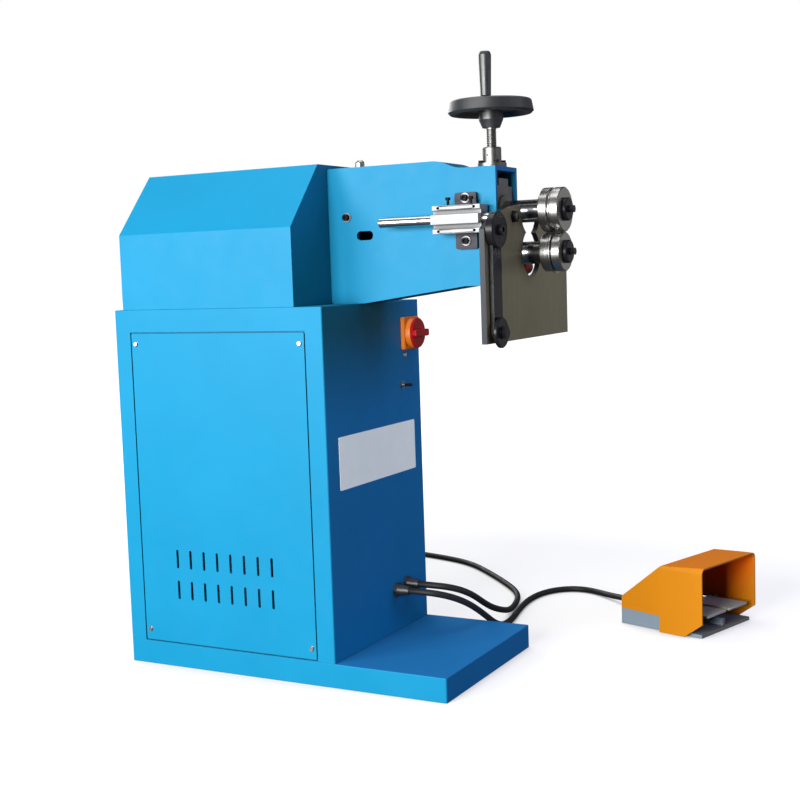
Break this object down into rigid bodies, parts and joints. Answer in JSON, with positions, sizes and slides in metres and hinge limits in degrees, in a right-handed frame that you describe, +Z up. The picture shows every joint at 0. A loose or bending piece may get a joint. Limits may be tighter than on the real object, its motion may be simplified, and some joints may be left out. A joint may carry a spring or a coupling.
{
  "type": "duct beading machine",
  "caption": "Floor-standing motor-driven beading machine: blue cabinet and arm, geared bead rolls on two shafts, screw-down handwheel, sliding gauge plate and hooded foot pedal.",
  "frame": {"origin": "centre of the floor platform's footprint, on the floor", "axes": "+X towards the rolls, +Y to the switch side, +Z up"},
  "size_m": [1.1303, 1.0725, 1.1339],
  "materials": {
    "blue_paint": "light blue powder coat, satin gloss",
    "bright_steel": "turned bare steel",
    "screw_zinc": "zinc plated",
    "black_steel": "black oxide",
    "grey_iron": "machined iron",
    "bronze": "turned bronze",
    "block_aluminium": "bright anodised",
    "gauge_steel": "olive brown satin steel",
    "mount_steel": "dark oiled steel",
    "motor_paint": "grey machine enamel",
    "black_plastic": "black moulded plastic",
    "orange_plastic": "orange yellow moulded plastic",
    "red_plastic": "red moulded plastic",
    "plate_white": "white printed sheet, left bare",
    "hood_orange": "orange enamel",
    "pedal_blue_grey": "blue grey enamel",
    "treadle_grey": "grey enamel",
    "cable_black": "black cable sheath"
  },
  "bodies": {
    "machine": {"base_platform": "blue_paint", "cabinet_shell": "blue_paint", "access_door": "blue_paint", "rear_cover": "blue_paint", "arm_left_plate": "blue_paint", "arm_right_plate": "blue_paint", "arm_top_plate": "blue_paint", "arm_bottom_plate": "blue_paint", "side_washers": "bright_steel", "pedal_pin": "bright_steel", "screw_nut": "bright_steel", "panel_screws": "screw_zinc", "oil_cup": "screw_zinc", "toggle_body": "screw_zinc", "side_bolts": "black_steel", "cap_screws": "black_steel", "lower_bearings": "grey_iron", "drive_chain": "grey_iron", "bearing_block": "block_aluminium", "gauge_mount_plate": "mount_steel", "gear_motor": "motor_paint", "cable_glands": "black_plastic", "mains_plug": "black_plastic", "switch_plate": "orange_plastic", "red_cap": "red_plastic", "name_plate": "plate_white", "pedal_hood": "hood_orange", "pedal_base": "pedal_blue_grey", "pedal_cable": "cable_black", "mains_cable": "cable_black", "mains_coil": "cable_black"},
    "lower_spindle": {"lower_shaft": "bright_steel", "lower_gear": "grey_iron", "shaft_sprocket": "grey_iron", "lower_rolls": "bright_steel", "lower_roll_bolt": "black_steel"},
    "motor_output": {"motor_sprocket": "grey_iron"},
    "carrier": {"upper_carrier": "grey_iron", "upper_bushes": "grey_iron", "screw_keeper": "grey_iron"},
    "upper_spindle": {"upper_shaft": "bright_steel", "upper_gear": "grey_iron", "upper_rolls": "bright_steel", "upper_roll_bolt": "black_steel"},
    "pad": {"thrust_pad": "bronze"},
    "wheel": {"adjusting_screw": "bright_steel", "handwheel": "black_plastic", "handle_bolt": "bright_steel"},
    "handle": {"wheel_handle": "black_plastic"},
    "gauge": {"guide_rod": "bright_steel", "rod_nut": "black_steel", "gauge_plate": "gauge_steel", "link_pivot_screw": "black_steel"},
    "link": {"swing_link": "black_steel", "roller_bolt": "black_steel"},
    "roller": {"guide_roller": "black_steel"},
    "switch": {"switch_knob": "red_plastic"},
    "toggle": {"toggle_lever": "black_steel"},
    "near_treadle": {"left_pedal": "treadle_grey"},
    "far_treadle": {"right_pedal": "treadle_grey"}
  },
  "joints": [
    {"name": "lower_shaft_spin", "type": "hinge", "parent": "machine", "child": "lower_spindle", "pos_m": [0, 0, 0.783], "axis": [1, 0, 0], "continuous": true},
    {"name": "motor_sprocket_spin", "type": "hinge", "parent": "machine", "child": "motor_output", "pos_m": [-0.242, 0, 0.137], "axis": [1, 0, 0], "continuous": true},
    {"name": "pad_lift", "type": "slide", "parent": "machine", "child": "pad", "axis": [0, 0, 1], "range_m": [0, 0.01002]},
    {"name": "handwheel_turn", "type": "hinge", "parent": "pad", "child": "wheel", "pos_m": [0.38, 0, 1], "axis": [0, 0, 1], "range_deg": [0, 900]},
    {"name": "handle_spin", "type": "hinge", "parent": "wheel", "child": "handle", "pos_m": [0.397, -0.058, 1.09], "axis": [0, 0, 1], "continuous": true},
    {"name": "carrier_tilt", "type": "hinge", "parent": "machine", "child": "carrier", "pos_m": [-0.19, 0, 0.857], "axis": [0, -1, 0], "range_deg": [0, 1.01]},
    {"name": "upper_shaft_spin", "type": "hinge", "parent": "carrier", "child": "upper_spindle", "pos_m": [0, 0, 0.857], "axis": [1, 0, 0], "continuous": true},
    {"name": "gauge_slide", "type": "slide", "parent": "machine", "child": "gauge", "axis": [1, 0, 0], "range_m": [-0.02, 0.04]},
    {"name": "link_swing", "type": "hinge", "parent": "gauge", "child": "link", "pos_m": [0.458, -0.168, 0.8215], "axis": [1, 0, 0], "range_deg": [-40, 40]},
    {"name": "roller_spin", "type": "hinge", "parent": "link", "child": "roller", "pos_m": [0.466, -0.168, 0.65], "axis": [1, 0, 0], "continuous": true},
    {"name": "switch_turn", "type": "hinge", "parent": "machine", "child": "switch", "pos_m": [0.14, 0.1435, 0.634], "axis": [1, 0, 0], "range_deg": [-90, 0]},
    {"name": "toggle_tip", "type": "hinge", "parent": "machine", "child": "toggle", "pos_m": [0.1286, 0.109, 0.5325], "axis": [0, 1, 0], "range_deg": [-15, 15]},
    {"name": "near_pedal_press", "type": "hinge", "parent": "machine", "child": "near_treadle", "pos_m": [0.57111, 0.39125, 0.036], "axis": [0.2924, 0.9563, 0], "range_deg": [0, 8], "stiffness_Nm_per_rad": 6, "springref_deg": -6.88},
    {"name": "far_pedal_press", "type": "hinge", "parent": "machine", "child": "far_treadle", "pos_m": [0.57111, 0.39125, 0.036], "axis": [0.2924, 0.9563, 0], "range_deg": [0, 8], "stiffness_Nm_per_rad": 6, "springref_deg": -6.88}
  ],
  "couplings": [
    {"joint": "upper_shaft_spin", "follows": "lower_shaft_spin", "ratio": -1},
    {"joint": "motor_sprocket_spin", "follows": "lower_shaft_spin", "ratio": 1},
    {"joint": "pad_lift", "follows": "handwheel_turn", "m_per_rad": 0.00063662},
    {"joint": "carrier_tilt", "follows": "handwheel_turn", "ratio": 0.0011169}
  ]
}
